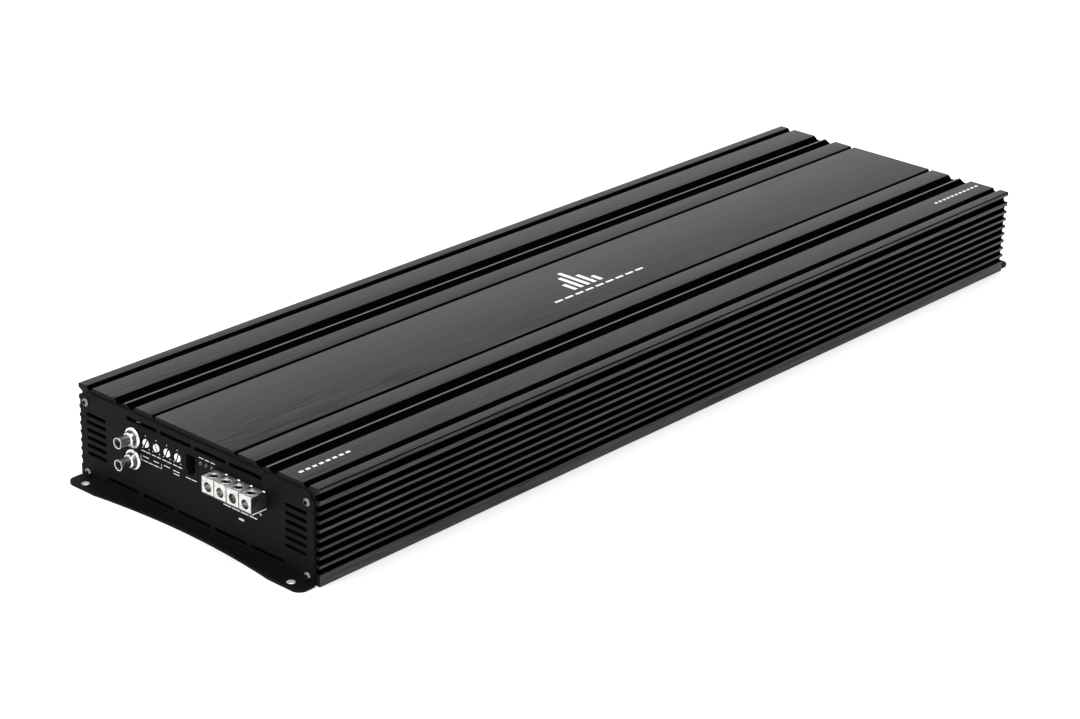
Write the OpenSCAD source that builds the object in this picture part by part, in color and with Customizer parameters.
// Long single-channel car audio amplifier in a finned aluminium extrusion.
// Frame: X runs along the body (the control end faces -X, the power end +X), Y across it, Z up.
// Origin: centre of the underside. All sizes are in millimetres.

/* [Body] */
// Length of the finned extrusion
body_length = 800; // [780:1:820]
// Width over the tips of the side fins
body_width = 240.4; // [240:0.1:241]
// Height from the underside to the top face
body_height = 70.8; // [70.5:0.1:71.5]
// Thickness of the top slab
top_thickness = 8.8; // [8:0.1:9.5]
// Depth of the grooves in the top face
groove_depth = 2.9; // [2.5:0.1:3.5]
// Height of the lowest, plain band of the side
base_band = 8.8; // [8.5:0.1:9.5]
// Depth of the grooves between the side fins
fin_depth = 4; // [3:0.1:4]
// Thickness of one side fin
fin_thickness = 2.7; // [2:0.1:3]
// Distance from one side fin to the next
fin_pitch = 6.5; // [6.3:0.05:6.55]

/* [End plates] */
// Thickness of the folded steel end plates
plate_thickness = 2; // [1.5:0.1:2]
// Height of the end plates
plate_height = 66.8; // [66:0.1:67]
// Radius of the top corners of the end plates
plate_corner = 9; // [6:0.5:10]
// How far the ears stand out from the plate
ear_reach = 14.5; // [13:0.1:16]
// How far the middle of the foot flange stands out from the plate
flange_reach = 7.9; // [7:0.1:9]
// Diameter of the four mounting holes
ear_hole_d = 6; // [5:0.1:6.5]
// Distance between the two mounting holes of one end
ear_hole_spacing = 207.8; // [204:0.1:210]
// Height of one vent slot
vent_height = 3; // [2:0.1:3.2]

/* [Controls] */
// Height of the four adjusters above the underside
trimmer_z = 48.5; // [47:0.1:50]
// Distance from one adjuster to the next
trimmer_pitch = 10.8; // [10.5:0.1:12]
// Diameter of an adjuster shaft
trimmer_shaft_d = 6; // [5:0.1:6.4]
// Outer diameter of a phono jack
jack_d = 8.3; // [8:0.1:8.4]
// Distance between the two phono jacks
jack_pitch = 16.5; // [16:0.1:18]

/* [Terminals] */
// Distance from one loudspeaker terminal to the next
speaker_pitch = 12.1; // [12:0.1:12.5]
// Diameter of the loudspeaker wire bores
speaker_bore_d = 7; // [6:0.1:7.2]
// Distance from one supply terminal to the next
supply_pitch = 24; // [23:0.5:25]
// Diameter of the supply wire bores
supply_bore_d = 10.4; // [9:0.1:11]

/* [Hidden] */

$fn = 48;
gap = 0.05;                 // running clearance of a shaft in its hole
half_length = body_length / 2;
half_width = body_width / 2;
plate_face = half_length + plate_thickness;
groove_floor = body_height - groove_depth;
cavity_top = body_height - top_thickness;
cavity_wall = 8;            // distance from the fin tips to the inner side wall
board_seat = 11;            // height of the ledge that the main board lies on
board_top = 12.8;
screw_channel = [9.6, 5.6, 59.2];   // distance from the side, lower height, upper height
cover_screw_edge = 15.8;
cover_screw_x = [for (i = [-5:2:5]) i * 76];
board_screw_edge = 11.2;
board_screw_x = [for (i = [-2:2]) i * 190];
clamp_screw_x = [for (i = [-6:6]) i * 48];
clamp_z = 33.6;
jack_y = 61.2;
jack_z = [48.5, 48.5 - jack_pitch];
trimmer_y = [for (i = [0:3]) 47.8 - i * trimmer_pitch];
trimmer_turn = [28, -28, 24, 20];  // where each slot points at rest
remote_centre = [1.8, 47.6];
led_y = [-8.6, -14.15, -19.7];
led_z = 52.6;
control_board_face = -half_length + 13.4;
speaker_y = [for (i = [0:3]) -29.2 - i * speaker_pitch];
speaker_size = [12, 11.3, 11.6];
speaker_base_z = 41.4;
speaker_front = -half_length - 15;
supply_y = [for (i = [0:3]) 52 - i * supply_pitch];
supply_size = [14, 20, 22];
supply_base_z = 24;
trigger_y = -44;
trigger_size = [14, 10, 12];
black = [0.05, 0.05, 0.055];
nickel = [0.8, 0.8, 0.78];
copper = [0.72, 0.42, 0.26];
board_green = [0.06, 0.2, 0.12];

// ---------- helpers ----------

// A point of the cross-section, given by its distance from the side face
function at(edge, z) = [half_width - edge, z];

// Points of an arc about (edge, z), from angle a0 to a1 measured from straight up
function arc_at(edge, z, r, a0, a1, steps) =
    [for (i = [0:steps]) let (a = a0 + (a1 - a0) * i / steps) at(edge + r * sin(a), z + r * cos(a))];

function mirrored(points) =
    concat(points, [for (i = [len(points) - 1:-1:0]) [-points[i][0], points[i][1]]]);

// Draws a cross-section in the YZ plane and pulls it along X from x0 to x1
module along_x(x0, x1) {
    translate([x0, 0, 0]) rotate([90, 0, 90]) linear_extrude(height = x1 - x0) children();
}

// A round bar along X, from x0 to x1
module bar_x(x0, x1, d, y = 0, z = 0) {
    translate([x0, y, z]) rotate([0, 90, 0]) cylinder(d = d, h = x1 - x0);
}

module bar_y(y0, y1, d, x = 0, z = 0) {
    translate([x, y0, z]) rotate([-90, 0, 0]) cylinder(d = d, h = y1 - y0);
}

// A box given by its two corners
module block(low, high) {
    translate(low) cube(high - low);
}

// A flat slot with round ends, cut through an end plate at (y, z)
module vent(y, z, length) {
    travel = (length - vent_height) / 2;
    for (side = [-1, 1])
        bar_x(-plate_face - 1, -half_length + 1, vent_height, y + side * travel, z);
    block([-plate_face - 1, y - travel, z - vent_height / 2],
          [-half_length + 1, y + travel, z + vent_height / 2]);
}

module both_sides() {
    for (side = [0, 1]) mirror([0, side, 0]) children();
}

// ---------- body ----------

// One fin of the side, from its root on the wall out to its tip and back
function fin(top, thickness) = [
    at(fin_depth, top), at(0.3, top), at(0, top - 0.3),
    at(0, top - thickness + 0.7), at(0.7, top - thickness), at(fin_depth, top - thickness)
];

// The low rib in the widest groove: a trapezium with blunted corners
rib_edge = 49.4;
rib_top = body_height - 0.4;

function rib() = [
    for (p = [[5.2, groove_floor], [1.4, rib_top - 0.5], [0.7, rib_top],
              [-0.7, rib_top], [-1.4, rib_top - 0.5], [-5.2, groove_floor]])
        at(rib_edge + p[0], p[1])
];

body_profile = mirrored(concat(
    [at(80.9, body_height), at(80.3, body_height - 2.2), at(77.8, body_height - 2.2), at(77.2, body_height)],
    [at(60.5, body_height), at(57.4, groove_floor)],
    rib(),
    [at(41, groove_floor), at(37.9, body_height)],
    [at(15.4, body_height), at(13.3, groove_floor + 0.3), at(10.6, groove_floor + 0.3), at(8.5, body_height)],
    arc_at(0.7, body_height - 0.7, 0.7, 0, -90, 3),
    [at(0, body_height - 3), at(0.6, body_height - 3.6), at(fin_depth, body_height - 5.6)],
    fin(62, 3.8),
    [for (k = [0:6]) each fin(54.2 - k * fin_pitch, fin_thickness)],
    [at(fin_depth, base_band), at(0.4, base_band), at(0, base_band - 0.4), at(0, 0.6), at(0.6, 0)],
    [at(9, 0), at(9, 1.7), at(18, 1.7), at(18, 6), at(14, 6), at(14, board_seat), at(cavity_wall, board_seat)],
    [at(cavity_wall, 55), at(10.6, 55.6), at(13.2, 58.2), at(13.2, cavity_top)]
));

module heatsink() {
    color(black) difference() {
        along_x(-half_length, half_length) polygon(body_profile);
        both_sides() {
            for (z = [screw_channel[1], screw_channel[2]])
                bar_x(-half_length - 1, half_length + 1, 3.3, half_width - screw_channel[0], z);
            for (x = cover_screw_x)
                translate([x, half_width - cover_screw_edge, 1]) cylinder(d = 2.5, h = 6);
            for (x = board_screw_x)
                translate([x, half_width - board_screw_edge, board_seat - 3]) cylinder(d = 2.5, h = 4);
            for (x = clamp_screw_x)
                bar_y(half_width - cavity_wall - 1, half_width - cavity_wall + 4.5, 2.5, x, clamp_z);
        }
    }
}

module bottom_cover() {
    edge = half_width - 9.3;
    color([0.08, 0.08, 0.08]) difference() {
        block([-half_length + 0.5, -edge, 0], [half_length - 0.5, edge, 1.5]);
        both_sides() for (x = cover_screw_x)
            translate([x, half_width - cover_screw_edge, -0.01]) {
                cylinder(d = 3.4, h = 2);
                cylinder(d1 = 6.2, d2 = 3.4, h = 1.4);
            }
    }
}

// Countersunk screw with a hexagon socket, head flush with the cover
module bottom_cover_screws() {
    color("dimgray") both_sides() for (x = cover_screw_x)
        translate([x, half_width - cover_screw_edge, 0]) difference() {
            union() {
                cylinder(d1 = 6, d2 = 3, h = 1.4);
                cylinder(d = 2.4, h = 5.8);
            }
            translate([0, 0, -0.01]) cylinder(d = 2.2, h = 1, $fn = 6);
        }
}

// ---------- end plates ----------

plate_edge = half_width - 3.6;
flange_edge = half_width - 2.4;
foot_bend = 2.5;
ear_straight = 88;
recess_radius = (pow(ear_straight, 2) + pow(ear_reach - flange_reach, 2)) / (2 * (ear_reach - flange_reach));

// Folded sheet with rounded shoulders, a recessed foot flange and two ears, drawn for the -X end
module plate_blank() {
    along_x(-plate_face, -half_length) {
        translate([-plate_edge, foot_bend]) square([2 * plate_edge, plate_height - plate_corner - foot_bend]);
        translate([-plate_edge + plate_corner, plate_height - plate_corner - 1])
            square([2 * (plate_edge - plate_corner), plate_corner + 1]);
        for (side = [-1, 1])
            translate([side * (plate_edge - plate_corner), plate_height - plate_corner]) circle(r = plate_corner);
    }
    // the fold, a quarter of a ring under the plate
    intersection() {
        difference() {
            bar_y(-plate_edge, plate_edge, 2 * foot_bend, -half_length - foot_bend, foot_bend);
            bar_y(-plate_edge - 1, plate_edge + 1, 2 * (foot_bend - plate_thickness), -half_length - foot_bend, foot_bend);
        }
        block([-half_length - foot_bend, -plate_edge, 0], [-half_length, plate_edge, foot_bend]);
    }
    foot_flange();
}

module foot_flange() {
    corner = 7;
    root = -half_length - foot_bend;
    tip = -plate_face - ear_reach;
    difference() {
        union() {
            block([tip + corner, -flange_edge, 0], [root, flange_edge, plate_thickness]);
            block([tip, -flange_edge + corner, 0], [root, flange_edge - corner, plate_thickness]);
            for (side = [-1, 1])
                translate([tip + corner, side * (flange_edge - corner), 0]) cylinder(r = corner, h = plate_thickness);
        }
        translate([-plate_face - flange_reach - recess_radius, 0, -1])
            cylinder(r = recess_radius, h = plate_thickness + 2, $fn = 360);
        for (side = [-1, 1])
            translate([-plate_face - 8.5, side * ear_hole_spacing / 2, -1])
                cylinder(d = ear_hole_d, h = plate_thickness + 2);
    }
}

module plate_screw_holes() {
    both_sides() for (z = [screw_channel[1], screw_channel[2]])
        bar_x(-plate_face - 1, -half_length + 1, 4, half_width - screw_channel[0], z);
}

module side_vents() {
    both_sides() for (i = [0:5]) vent(100, 20.9 + i * 5.95, 20.8);
}

module foot_vents() {
    for (i = [-2:2]) vent(i * 36.5, 7.8, 32);
}

module top_vents(count) {
    for (i = [0:count - 1]) vent((i - (count - 1) / 2) * 34.5, 61.4, 32.2);
}

module control_plate() {
    color(black) difference() {
        plate_blank();
        plate_screw_holes();
        side_vents();
        foot_vents();
        top_vents(4);
        for (z = jack_z) bar_x(-plate_face - 1, -half_length + 1, 9.4, jack_y, z);
        for (y = trimmer_y) bar_x(-plate_face - 1, -half_length + 1, trimmer_shaft_d + 1.2, y, trimmer_z);
        for (y = led_y) bar_x(-plate_face - 1, -half_length + 1, 3.2, y, led_z);
        block([-plate_face - 1, remote_centre[0] - 7, remote_centre[1] - 8.9],
              [-half_length + 1, remote_centre[0] + 7, remote_centre[1] + 8.9]);
        block([-plate_face - 1, speaker_y[3] - 6.9, speaker_base_z - 1.2],
              [-half_length + 1, speaker_y[0] + 6.9, speaker_base_z + speaker_size[2] + 1.2]);
    }
}

module power_plate() {
    color(black) mirror([1, 0, 0]) difference() {
        plate_blank();
        plate_screw_holes();
        side_vents();
        foot_vents();
        top_vents(4);
        block([-plate_face - 1, supply_y[3] - 12.8, supply_base_z - 2.8],
              [-half_length + 1, supply_y[0] + 12.8, supply_base_z + supply_size[2] + 1.2]);
        block([-plate_face - 1, trigger_y - trigger_size[1] / 2 - 2.8, supply_base_z - 2.8],
              [-half_length + 1, trigger_y + trigger_size[1] / 2 + 2.8, supply_base_z + trigger_size[2] + 1.2]);
    }
}

// Button-head screws with a hexagon socket, drawn for the -X end
module corner_screws() {
    both_sides() for (z = [screw_channel[1], screw_channel[2]])
        translate([-plate_face, half_width - screw_channel[0], z]) rotate([0, 90, 0]) difference() {
            union() {
                intersection() {
                    translate([0, 0, -1.8]) cylinder(d = 6, h = 1.8);
                    translate([0, 0, 2.1]) sphere(r = 4, $fn = 96);
                }
                cylinder(d = 3.2, h = 12);
            }
            translate([0, 0, -3]) cylinder(d = 3.6, h = 2.5, $fn = 6);
        }
}

module control_plate_screws() { color("silver") corner_screws(); }

module power_plate_screws() { color("silver") mirror([1, 0, 0]) corner_screws(); }

// ---------- phono inputs ----------

module phono_housing() {
    front = -half_length + 0.3;
    color("black") difference() {
        block([front, jack_y - 7, 20], [control_board_face, jack_y + 7, 58]);
        for (z = jack_z) bar_x(front - 1, control_board_face - 2, 8.9, jack_y, z);
    }
}

// Nickel shell: a flange, a cone with four windows, a barrel and a rolled lip
module phono_shell(z) {
    color(nickel) translate([-plate_face, jack_y, z]) rotate([0, -90, 0]) difference() {
        union() {
            rotate_extrude() polygon([[3.3, -9], [4.3, -9], [4.3, 0], [7.6, 0], [7.6, 0.6], [7, 1.3],
                                      [6.2, 1.5], [4.7, 4.9], [3.9, 5.2], [3.9, 12.2],
                                      [jack_d / 2, 12.5], [jack_d / 2, 13.8], [3.3, 13.8]]);
        }
        for (a = [0:90:359]) rotate([0, 0, a]) translate([3.9, -2.6, 1.8]) cube([3, 5.2, 2.6]);
    }
}

module phono_shell_upper() { phono_shell(jack_z[0]); }

module phono_shell_lower() { phono_shell(jack_z[1]); }

// Plastic core of a jack, with the bore for the centre pin of the plug
module phono_insulator(z) {
    color("black") difference() {
        bar_x(-plate_face - 13, -plate_face + 9, 6.4, jack_y, z);
        bar_x(-plate_face - 14, -plate_face + 10, 4.3, jack_y, z);
    }
}

module phono_insulator_upper() { phono_insulator(jack_z[0]); }

module phono_insulator_lower() { phono_insulator(jack_z[1]); }

// Spring socket for the centre pin, with a tail into the control board
module phono_contact(z) {
    color(nickel) difference() {
        union() {
            bar_x(-plate_face - 10.8, -plate_face + 9, 4.2, jack_y, z);
            bar_x(-plate_face + 8, -plate_face + 10.4, 1.6, jack_y, z);
        }
        bar_x(-plate_face - 12, -plate_face - 1, 3.3, jack_y, z);
    }
}

module phono_contact_upper() { phono_contact(jack_z[0]); }

module phono_contact_lower() { phono_contact(jack_z[1]); }

// ---------- adjusters ----------

trimmer_body_front = -half_length + 6.4;

// Potentiometer body with the bearing of its shaft
module trimmer(i) {
    color([0.1, 0.1, 0.12]) difference() {
        union() {
            block([trimmer_body_front, trimmer_y[i] - 4.9, trimmer_z - 6.5],
                  [control_board_face, trimmer_y[i] + 4.9, trimmer_z + 5]);
            bar_x(trimmer_body_front - 2, trimmer_body_front + 1, 8.4, trimmer_y[i], trimmer_z);
        }
        bar_x(trimmer_body_front - 3, control_board_face - 1.5, trimmer_shaft_d + 2 * gap, trimmer_y[i], trimmer_z);
    }
}

// White shaft, nearly flush with the control plate, with a screwdriver slot
module trimmer_shaft(i) {
    color("white") translate([-plate_face - 0.2, trimmer_y[i], trimmer_z]) rotate([0, 90, 0])
        rotate([0, 0, trimmer_turn[i]]) difference() {
            cylinder(d = trimmer_shaft_d, h = control_board_face - 1.8 + plate_face + 0.2);
            translate([-4, -0.55, -1]) cube([8, 1.1, 2.2]);
        }
}

module gain_trimmer() { trimmer(0); }

module low_pass_trimmer() { trimmer(1); }

module subsonic_trimmer() { trimmer(2); }

module bass_trimmer() { trimmer(3); }

module gain_shaft() { trimmer_shaft(0); }

module low_pass_shaft() { trimmer_shaft(1); }

module subsonic_shaft() { trimmer_shaft(2); }

module bass_shaft() { trimmer_shaft(3); }

// ---------- remote jack and lights ----------

// Modular socket standing on end, with a narrow keyway for the latch of the plug
module remote_jack() {
    front = -plate_face - 0.2;
    color("black") translate([0, remote_centre[0], remote_centre[1]]) difference() {
        block([front, -6.8, -8.7], [control_board_face, 6.8, 8.7]);
        block([front - 1, -4.9, -4.6], [control_board_face - 1.5, 4.9, 7.4]);
        block([front - 1, -3.1, -7.2], [control_board_face - 4, 3.1, -4]);
    }
}

// Six sprung wires that slope down into the socket
module remote_jack_contacts() {
    color("gold") for (i = [-2.5:2.5])
        translate([0, remote_centre[0] + i * 1.27, remote_centre[1]])
            rotate([90, 0, 0]) linear_extrude(height = 0.5, center = true)
                polygon([[-half_length + 4, 3.2], [control_board_face - 1.6, 6.4], [control_board_face - 1.6, 6.9],
                         [-half_length + 4, 3.8]]);
}

// Small round lamp with a domed front, a collar and two legs
module led(i) {
    translate([0, led_y[i], led_z]) {
        difference() {
            union() {
                bar_x(-plate_face, -half_length + 3, 3);
                translate([-plate_face, 0, 0]) sphere(d = 3);
                bar_x(-half_length + 0.4, -half_length + 1.6, 3.8);
            }
        }
        for (side = [-1.27, 1.27])
            block([-half_length + 2.9, side - 0.25, -0.25], [control_board_face, side + 0.25, 0.25]);
    }
}

module power_led() { color("lightblue") led(0); }

module protect_led() { color("salmon") led(1); }

module clip_led() { color("orange") led(2); }

// ---------- loudspeaker terminals ----------

barrier = speaker_pitch - speaker_size[1];

// Black moulding: a back wall behind the plate, a shelf, and barriers between the blocks
module speaker_terminal_housing() {
    top = speaker_base_z + speaker_size[2];
    back = -half_length + 9;
    right = speaker_y[3] - speaker_pitch / 2 - barrier / 2;
    left = speaker_y[0] + speaker_pitch / 2 + barrier / 2;
    color([0.07, 0.07, 0.07]) difference() {
        union() {
            block([speaker_front + 0.2, right, speaker_base_z - 0.9], [back, left, speaker_base_z - 0.1]);
            for (i = [0:4])
                translate([0, speaker_y[0] + speaker_pitch / 2 - i * speaker_pitch, 0])
                    rotate([90, 0, 0]) linear_extrude(height = barrier - 0.1, center = true)
                        polygon([[speaker_front + 0.2, speaker_base_z - 0.9], [back, speaker_base_z - 0.9],
                                 [back, top + 0.7], [-plate_face - 0.6, top + 0.9], [-plate_face - 2, top + 0.8],
                                 [-plate_face - 5, top + 0.3], [-plate_face - 8, top - 0.3],
                                 [speaker_front + 0.2, top - 0.6]]);
            block([speaker_front + speaker_size[0] + 0.1, right, speaker_base_z - 0.9], [back, left, top + 0.7]);
        }
        for (y = speaker_y) bar_x(speaker_front, back + 1, 4.2, y, speaker_base_z + 5.4);
    }
}

// Plated blocks with a wire bore in front, a screw hole on top and a spigot behind
module speaker_blocks() {
    color(nickel) for (y = speaker_y) difference() {
        union() {
            block([speaker_front, y - speaker_size[1] / 2, speaker_base_z],
                  [speaker_front + speaker_size[0], y + speaker_size[1] / 2, speaker_base_z + speaker_size[2]]);
            bar_x(speaker_front + speaker_size[0] - 1, -half_length + 10.8, 4, y, speaker_base_z + 5.4);
        }
        bar_x(speaker_front - 1, speaker_front + speaker_size[0] - 2, speaker_bore_d, y, speaker_base_z + 5);
        translate([speaker_front + 5.6, y, speaker_base_z + 5]) cylinder(d = 6.8 + 2 * gap, h = 8);
    }
}

// Copper straps from the spigots down to the main board
module speaker_links() {
    front = -half_length + 9.1;
    color(copper) for (y = speaker_y) difference() {
        union() {
            block([front, y - 4, board_top], [front + 1.2, y + 4, speaker_base_z + 9]);
            block([front, y - 4, board_top], [front + 8, y + 4, board_top + 1.2]);
        }
        bar_x(front - 1, front + 3, 4.1, y, speaker_base_z + 5.4);
    }
}

// Grub screw with a hexagon socket above and a narrower point below; its tip is at z = 0
module clamp_screw(d, length, point, socket) {
    color("silver") difference() {
        union() {
            cylinder(d = 0.6 * d, h = point + 0.1);
            translate([0, 0, point]) cylinder(d = d, h = length - point - 0.4);
            translate([0, 0, length - 0.4]) cylinder(d1 = d, d2 = d - 0.8, h = 0.4);
        }
        translate([0, 0, length - 2]) cylinder(d = socket, h = 3, $fn = 6);
    }
}

// Each clamp screw is drawn wound out, with its tip just above the wire bore
module speaker_screw(i) {
    translate([speaker_front + 5.6, speaker_y[i], speaker_base_z + 8.6]) clamp_screw(6.8, 2.8, 0.8, 4.2);
}

module speaker_screw_1() { speaker_screw(0); }

module speaker_screw_2() { speaker_screw(1); }

module speaker_screw_3() { speaker_screw(2); }

module speaker_screw_4() { speaker_screw(3); }

// ---------- supply terminals ----------

supply_front = half_length + 16;

// A moulding around one or more blocks: shelf, back wall and a barrier on each side
module supply_moulding(centres, size) {
    top = supply_base_z + size[2];
    low_y = min(centres) - size[1] / 2 - 2.2;
    high_y = max(centres) + size[1] / 2 + 2.2;
    back = half_length - 8;
    difference() {
        union() {
            block([back, low_y, supply_base_z - 2.5], [supply_front - 0.2, high_y, supply_base_z - 0.1]);
            block([back, low_y, supply_base_z - 2.5], [supply_front - size[0] - 0.1, high_y, top + 0.8]);
            for (y = centres) for (side = [-1, 1])
                translate([0, y + side * (size[1] / 2 + 1.15), 0])
                    block([back, -1.05, supply_base_z - 2.5], [supply_front - 0.2, 1.05, top]);
        }
        for (y = centres) bar_x(back - 1, supply_front, 6.2, y, supply_base_z + size[2] / 2 - 1);
    }
}

module supply_terminal_housing() {
    color([0.07, 0.07, 0.07]) {
        supply_moulding(supply_y, supply_size);
        supply_moulding([trigger_y], trigger_size);
    }
}

module supply_block(y, size, bore, screw) {
    difference() {
        union() {
            block([supply_front - size[0], y - size[1] / 2, supply_base_z],
                  [supply_front, y + size[1] / 2, supply_base_z + size[2]]);
            bar_x(half_length - 10, supply_front - size[0] + 1, 6, y, supply_base_z + size[2] / 2 - 1);
        }
        bar_x(supply_front - size[0] + 2, supply_front + 1, bore, y, supply_base_z + size[2] / 2 - 1.6);
        translate([supply_front - size[0] / 2 + 1, y, supply_base_z + size[2] / 2 - 1.6])
            cylinder(d = screw + 2 * gap, h = size[2]);
    }
}

module supply_blocks() {
    color(nickel) for (y = supply_y) supply_block(y, supply_size, supply_bore_d, 9.8);
}

module supply_screw(i) {
    translate([supply_front - supply_size[0] / 2 + 1, supply_y[i], supply_base_z + 14.7])
        clamp_screw(9.8, 8, 1.5, 6.4);
}

module supply_screw_1() { supply_screw(0); }

module supply_screw_2() { supply_screw(1); }

module supply_screw_3() { supply_screw(2); }

module supply_screw_4() { supply_screw(3); }

module trigger_block() { color(nickel) supply_block(trigger_y, trigger_size, 4, 3.5); }

module trigger_screw() {
    translate([supply_front - trigger_size[0] / 2 + 1, trigger_y, supply_base_z + 6.8])
        clamp_screw(3.5, 5.4, 0.8, 2.2);
}

// Copper bar that joins two supply blocks and is folded onto the main board
module bus_bar(centres) {
    low_y = min(centres) - 9;
    high_y = max(centres) + 9;
    spigot_z = supply_base_z + supply_size[2] / 2 - 1;
    back = half_length - 10;
    color(copper) difference() {
        union() {
            block([back, low_y, board_top], [back + 1.8, high_y, spigot_z + 7]);
            block([back - 14, low_y, board_top], [back + 1.8, high_y, board_top + 1.8]);
        }
        for (y = centres) bar_x(back - 1, back + 3, 6.1, y, spigot_z);
    }
}

module positive_bus_bar() { bus_bar([supply_y[0], supply_y[1]]); }

module negative_bus_bar() { bus_bar([supply_y[2], supply_y[3]]); }

// ---------- boards ----------

board_edge = half_width - 8.6;

module control_board() {
    color(board_green) difference() {
        block([control_board_face + 0.1, -24, 18], [control_board_face + 1.7, 72, 60]);
        for (z = jack_z) bar_x(control_board_face - 1, control_board_face + 3, 9, jack_y, z);
    }
}

module main_board() {
    color(board_green) difference() {
        block([-half_length + 6, -board_edge, board_seat], [half_length - 6, board_edge, board_top]);
        both_sides() for (x = board_screw_x)
            translate([x, half_width - board_screw_edge, board_seat - 1]) cylinder(d = 3.2, h = 4);
    }
}

module main_board_screws() {
    color("silver") both_sides() for (x = board_screw_x)
        translate([x, half_width - board_screw_edge, 0]) difference() {
            union() {
                translate([0, 0, board_seat - 2.8]) cylinder(d = 2.4, h = 5);
                translate([0, 0, board_top]) cylinder(d = 5, h = 1.8);
            }
            translate([0, 0, board_top + 0.8]) cylinder(d = 2.4, h = 2, $fn = 6);
        }
}

driver_x = [-330, -230];

module driver_board() {
    color(board_green) block([driver_x[0], -0.8, 15.4], [driver_x[1], 0.8, 54]);
}

// Plastic strips that hold the upright boards on the main board
module board_headers() {
    color("black") {
        block([driver_x[0] + 10, -2.5, board_top], [driver_x[1] - 10, 2.5, 15.3]);
        block([control_board_face - 1, -20, board_top], [control_board_face + 4, 68, 17.9]);
    }
}

// ---------- power stage ----------

transistor_x = [for (i = [-12:12]) if (i % 2 != 0) for (s = [-1, 1]) i * 24 + s * 8.6];

module thermal_pads() {
    color("lightgray") both_sides()
        block([-320, half_width - cavity_wall - 0.4, 18], [320, half_width - cavity_wall, 31.5]);
}

// Flat-packed transistor with three legs into the main board
module transistor(x) {
    face = half_width - cavity_wall - 0.4;
    block([x - 7.8, face - 4.9, 19], [x + 7.8, face, 40]);
    for (i = [-1:1])
        block([x + i * 5 - 0.6, face - 3.2, board_top], [x + i * 5 + 0.6, face - 2.6, 19.5]);
}

module power_transistors() {
    color([0.08, 0.08, 0.09]) both_sides() for (x = transistor_x) transistor(x);
}

clamp_bar_y = half_width - cavity_wall - 5.4;

module clamp_bars() {
    color("gray") both_sides() difference() {
        block([-316, clamp_bar_y - 3, clamp_z - 4], [316, clamp_bar_y, clamp_z + 4]);
        for (x = clamp_screw_x) bar_y(clamp_bar_y - 4, clamp_bar_y + 1, 3.4, x, clamp_z);
    }
}

module clamp_bar_screws() {
    color("silver") both_sides() for (x = clamp_screw_x) difference() {
        union() {
            bar_y(clamp_bar_y - 5, clamp_bar_y - 3, 5.6, x, clamp_z);
            bar_y(clamp_bar_y - 3.5, half_width - cavity_wall + 4, 2.4, x, clamp_z);
        }
        bar_y(clamp_bar_y - 6, clamp_bar_y - 4, 2.6, x, clamp_z);
    }
}

transformer_places = [for (i = [0:3]) [10 + i * 78, 48], for (i = [0:3]) [10 + i * 78, -48]];
coil_places = [[-280, 50], [-280, -50], [-210, 50], [-210, -50]];

// Ring core lying flat, with a round-cornered square section
module ring_core(inner, outer, height, base) {
    translate([0, 0, base]) rotate_extrude($fn = 64)
        polygon([[inner + 0.8, 0], [outer - 0.8, 0], [outer, 0.8], [outer, height - 0.8],
                 [outer - 0.8, height], [inner + 0.8, height], [inner, height - 0.8], [inner, 0.8]]);
}

// Sleeves of wire around a ring core, one for each winding
module ring_windings(inner, outer, height, base, wire, sectors, angle) {
    for (i = [0:sectors - 1]) rotate([0, 0, i * 360 / sectors])
        translate([0, 0, base]) rotate_extrude(angle = angle, $fn = 64) difference() {
            translate([inner - wire, -wire]) square([outer - inner + 2 * wire, height + 2 * wire]);
            translate([inner - 0.2, -0.2]) square([outer - inner + 0.4, height + 0.4]);
        }
}

module transformer_cores() {
    color([0.25, 0.27, 0.3]) for (p = transformer_places) translate([p[0], p[1], 0]) ring_core(14, 29, 22, 17);
}

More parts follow.
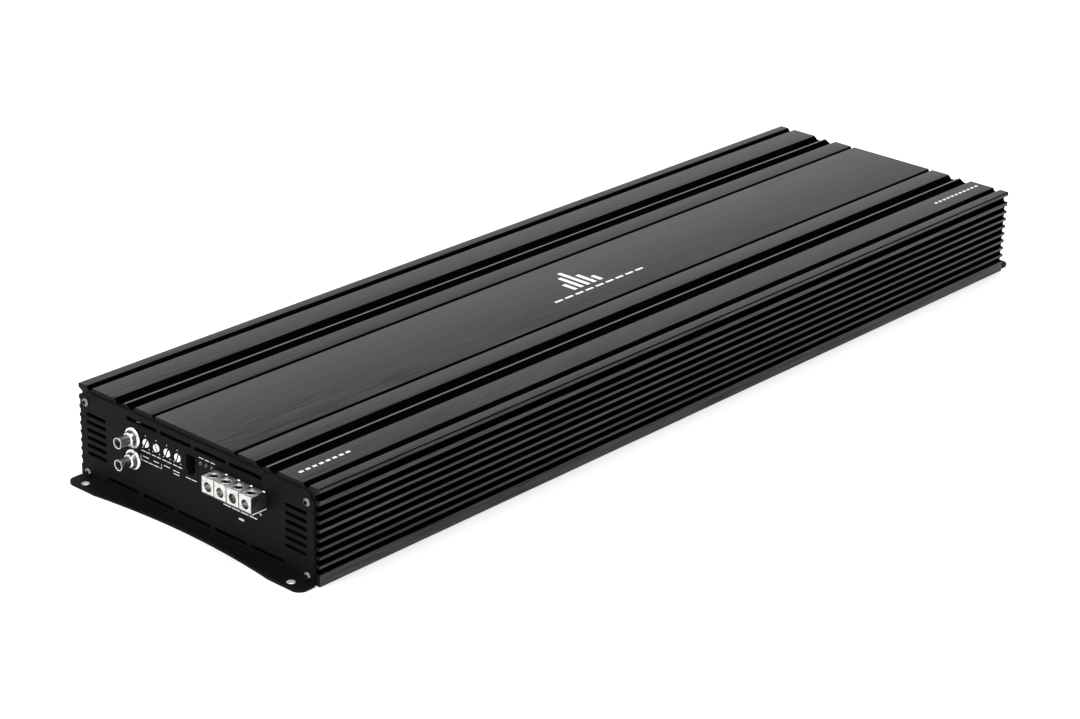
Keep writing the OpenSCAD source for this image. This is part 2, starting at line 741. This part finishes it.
module transformer_windings() {
    color(copper) for (p = transformer_places) translate([p[0], p[1], 0])
        ring_windings(14, 29, 22, 17, 3.2, 3, 100);
}

module output_coil_cores() {
    color([0.8, 0.7, 0.2]) for (p = coil_places) translate([p[0], p[1], 0]) ring_core(13, 26, 20, 17);
}

module output_coil_windings() {
    color(copper) for (p = coil_places) translate([p[0], p[1], 0]) ring_windings(13, 26, 20, 17, 2.6, 1, 320);
}

// Can with a rolled groove near its foot, standing on the board
module capacitor(d, height) {
    r = d / 2;
    translate([0, 0, board_top]) rotate_extrude()
        polygon([[0, 0], [r, 0], [r, 2.6], [r - 0.8, 3.3], [r, 4], [r, height - 1], [r - 1, height], [0, height]]);
}

module input_capacitors() {
    color([0.06, 0.1, 0.2]) for (i = [0:8]) for (j = [0, 1])
        translate([330 + j * 21, -88 + i * 22, 0]) capacitor(18, 36);
}

module rail_capacitors() {
    color([0.06, 0.1, 0.2]) for (i = [0:2]) for (j = [0:4])
        translate([-140 + i * 34, -64 + j * 32, 0]) capacitor(30, 42);
}

// ---------- drawing ----------

heatsink();
bottom_cover();
bottom_cover_screws();
control_plate();
power_plate();
control_plate_screws();
power_plate_screws();
phono_housing();
phono_shell_upper();
phono_shell_lower();
phono_insulator_upper();
phono_insulator_lower();
phono_contact_upper();
phono_contact_lower();
gain_trimmer();
low_pass_trimmer();
subsonic_trimmer();
bass_trimmer();
gain_shaft();
low_pass_shaft();
subsonic_shaft();
bass_shaft();
remote_jack();
remote_jack_contacts();
power_led();
protect_led();
clip_led();
speaker_terminal_housing();
speaker_blocks();
speaker_links();
speaker_screw_1();
speaker_screw_2();
speaker_screw_3();
speaker_screw_4();
supply_terminal_housing();
supply_blocks();
positive_bus_bar();
negative_bus_bar();
supply_screw_1();
supply_screw_2();
supply_screw_3();
supply_screw_4();
trigger_block();
trigger_screw();
control_board();
main_board();
main_board_screws();
driver_board();
board_headers();
thermal_pads();
power_transistors();
clamp_bars();
clamp_bar_screws();
transformer_cores();
transformer_windings();
output_coil_cores();
output_coil_windings();
input_capacitors();
rail_capacitors();
